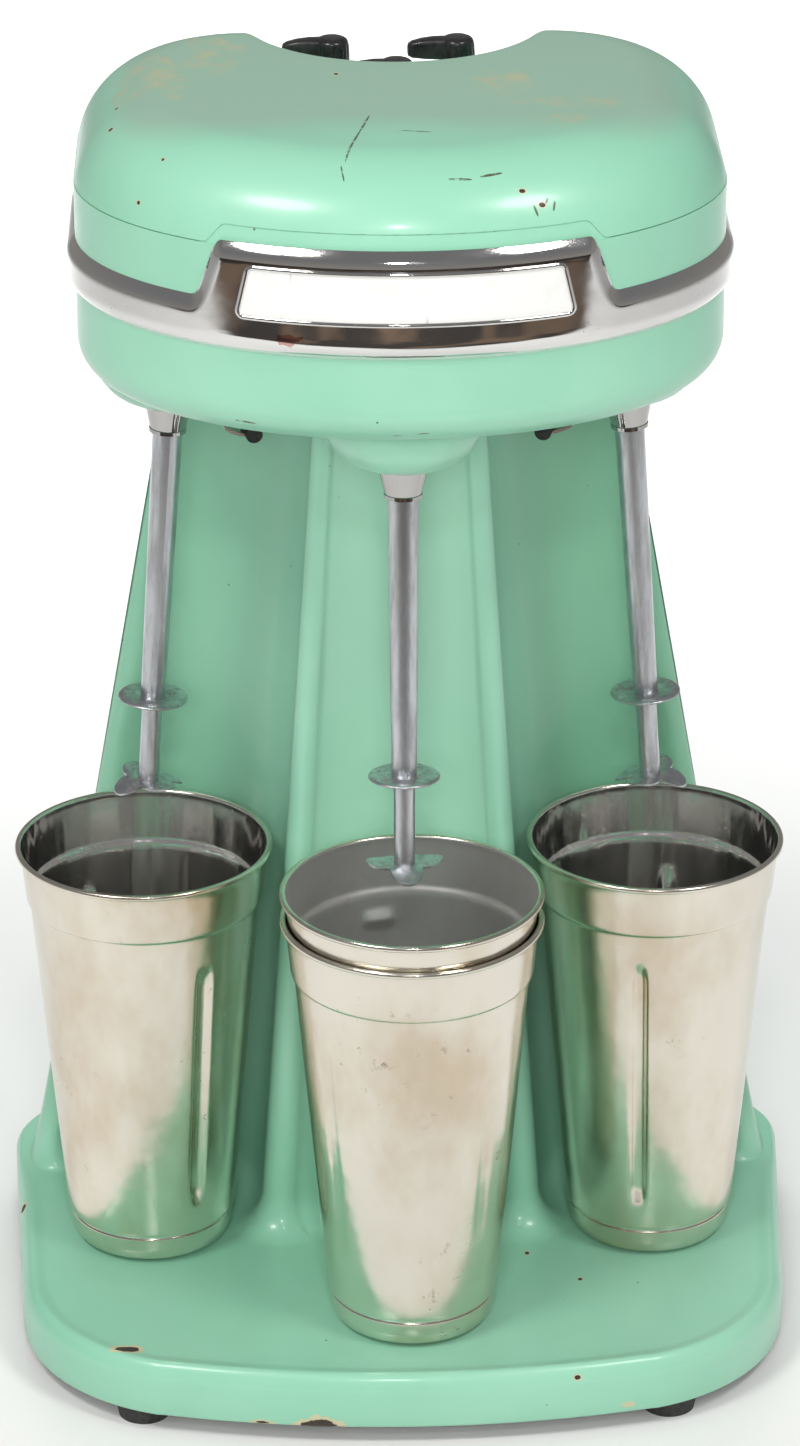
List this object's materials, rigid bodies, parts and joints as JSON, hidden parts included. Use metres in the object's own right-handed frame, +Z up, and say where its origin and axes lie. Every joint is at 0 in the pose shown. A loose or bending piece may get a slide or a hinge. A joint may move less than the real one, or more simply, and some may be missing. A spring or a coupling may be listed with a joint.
{
  "type": "three-spindle drink mixer",
  "caption": "Countertop drink mixer with leaning motor-driven spindles under a rounded enamelled head, a fluted column, a wide base and tapered steel cups.",
  "frame": {"origin": "middle of the base's underside, on the plane the rubber feet stand on", "axes": "+Z up, +Y towards the back, +X to the right as seen from the front, so the front with the badge faces -Y"},
  "size_m": [0.3314, 0.247, 0.534],
  "materials": {
    "enamel": "glossy jade green enamel, worn and chipped",
    "zinc_sheet": "plain zinc plate",
    "rubber": "matt black",
    "steel_screws": "dull nickel plate",
    "dark_screws": "blackened steel",
    "chrome_trim": "polished, slightly dull",
    "badge_white": "plain white enamel without lettering",
    "phenolic": "brown phenolic",
    "motor_iron": "varnished laminations",
    "copper_winding": "varnished copper wire",
    "bronze": "sintered bronze",
    "collar_metal": "plated, dulled with age",
    "spindle_steel": "polished, with stains and some rust",
    "fan_metal": "stamped sheet",
    "knob_plastic": "moulded black",
    "lever_steel": "plated strip",
    "lever_rubber": "black",
    "cup_steel": "polished outside, satin inside"
  },
  "bodies": {
    "stand": {"base_and_column": "enamel", "base_bottom_plate": "zinc_sheet", "rubber_feet": "rubber", "foot_screws": "steel_screws", "column_back_cover": "enamel", "cord_bushing": "rubber", "pan_head_screws": "steel_screws", "lower_housing": "enamel", "column_bolts": "steel_screws", "top_cover": "enamel", "side_screws": "dark_screws", "switch_deck": "enamel", "chrome_band": "chrome_trim", "nameplate": "badge_white", "nameplate_frame": "chrome_trim", "rotary_switches": "phenolic", "switch_nuts": "steel_screws", "stators": "motor_iron", "spindle_collars": "collar_metal", "lower_bearings": "bronze", "upper_bearings": "bronze", "field_coils": "copper_winding", "brush_holders": "phenolic", "bearing_bridges": "zinc_sheet", "cup_bumpers": "rubber", "lever_pins": "steel_screws", "cup_switches": "zinc_sheet"},
    "spindle_left_turning": {"spindle_left": "spindle_steel", "armature_left": "copper_winding", "fan_left": "fan_metal", "splash_disc_left": "spindle_steel", "agitator_left": "spindle_steel", "agitator_screw_left": "spindle_steel"},
    "spindle_centre_turning": {"spindle_centre": "spindle_steel", "armature_centre": "copper_winding", "fan_centre": "fan_metal", "splash_disc_centre": "spindle_steel", "agitator_centre": "spindle_steel", "agitator_screw_centre": "spindle_steel"},
    "spindle_right_turning": {"spindle_right": "spindle_steel", "armature_right": "copper_winding", "fan_right": "fan_metal", "splash_disc_right": "spindle_steel", "agitator_right": "spindle_steel", "agitator_screw_right": "spindle_steel"},
    "knob_left_turning": {"knob_left": "knob_plastic"},
    "knob_centre_turning": {"knob_centre": "knob_plastic"},
    "knob_right_turning": {"knob_right": "knob_plastic"},
    "lever_left_rocking": {"cup_lever_left": "lever_steel", "lever_tip_left": "lever_rubber"},
    "lever_centre_rocking": {"cup_lever_centre": "lever_steel", "lever_tip_centre": "lever_rubber"},
    "lever_right_rocking": {"cup_lever_right": "lever_steel", "lever_tip_right": "lever_rubber"},
    "cup_left_lifting": {"cup_left": "cup_steel"},
    "cup_centre_lifting": {"cup_centre": "cup_steel"},
    "cup_inner_lifting": {"cup_inner": "cup_steel"},
    "cup_right_lifting": {"cup_right": "cup_steel"}
  },
  "joints": [
    {"name": "spindle_left_spin", "type": "hinge", "parent": "stand", "child": "spindle_left_turning", "pos_m": [-0.092, 0.01547, 0.386], "axis": [0.0698, 0.0154, 0.9974], "continuous": true},
    {"name": "spindle_centre_spin", "type": "hinge", "parent": "stand", "child": "spindle_centre_turning", "pos_m": [0, -0.0585, 0.386], "axis": [0, 0.0715, 0.9974], "continuous": true},
    {"name": "spindle_right_spin", "type": "hinge", "parent": "stand", "child": "spindle_right_turning", "pos_m": [0.092, 0.01547, 0.386], "axis": [-0.0698, 0.0154, 0.9974], "continuous": true},
    {"name": "knob_left_turn", "type": "hinge", "parent": "stand", "child": "knob_left_turning", "pos_m": [-0.025, 0.079, 0.515], "axis": [0, 0, -1], "range_deg": [0, 60]},
    {"name": "knob_centre_turn", "type": "hinge", "parent": "stand", "child": "knob_centre_turning", "pos_m": [0, 0.049, 0.515], "axis": [0, 0, -1], "range_deg": [0, 60]},
    {"name": "knob_right_turn", "type": "hinge", "parent": "stand", "child": "knob_right_turning", "pos_m": [0.025, 0.079, 0.515], "axis": [0, 0, -1], "range_deg": [0, 60]},
    {"name": "lever_left_rock", "type": "hinge", "parent": "stand", "child": "lever_left_rocking", "pos_m": [-0.05372, 0.02389, 0.421], "axis": [-0.2147, 0.9767, 0], "range_deg": [0, 6], "stiffness_Nm_per_rad": 0.02},
    {"name": "lever_centre_rock", "type": "hinge", "parent": "stand", "child": "lever_centre_rocking", "pos_m": [0, -0.0193, 0.421], "axis": [-1, 0, 0], "range_deg": [0, 6], "stiffness_Nm_per_rad": 0.02},
    {"name": "lever_right_rock", "type": "hinge", "parent": "stand", "child": "lever_right_rocking", "pos_m": [0.05372, 0.02389, 0.421], "axis": [-0.2147, -0.9767, 0], "range_deg": [0, 6], "stiffness_Nm_per_rad": 0.02},
    {"name": "cup_left_lift", "type": "slide", "parent": "stand", "child": "cup_left_lifting", "axis": [0, 0, 1], "range_m": [0, 0.15]},
    {"name": "cup_centre_lift", "type": "slide", "parent": "stand", "child": "cup_centre_lifting", "axis": [0, 0, 1], "range_m": [0, 0.09]},
    {"name": "cup_inner_lift", "type": "slide", "parent": "cup_centre_lifting", "child": "cup_inner_lifting", "axis": [0, 0, 1], "range_m": [0, 0.05]},
    {"name": "cup_right_lift", "type": "slide", "parent": "stand", "child": "cup_right_lifting", "axis": [0, 0, 1], "range_m": [0, 0.15]}
  ]
}
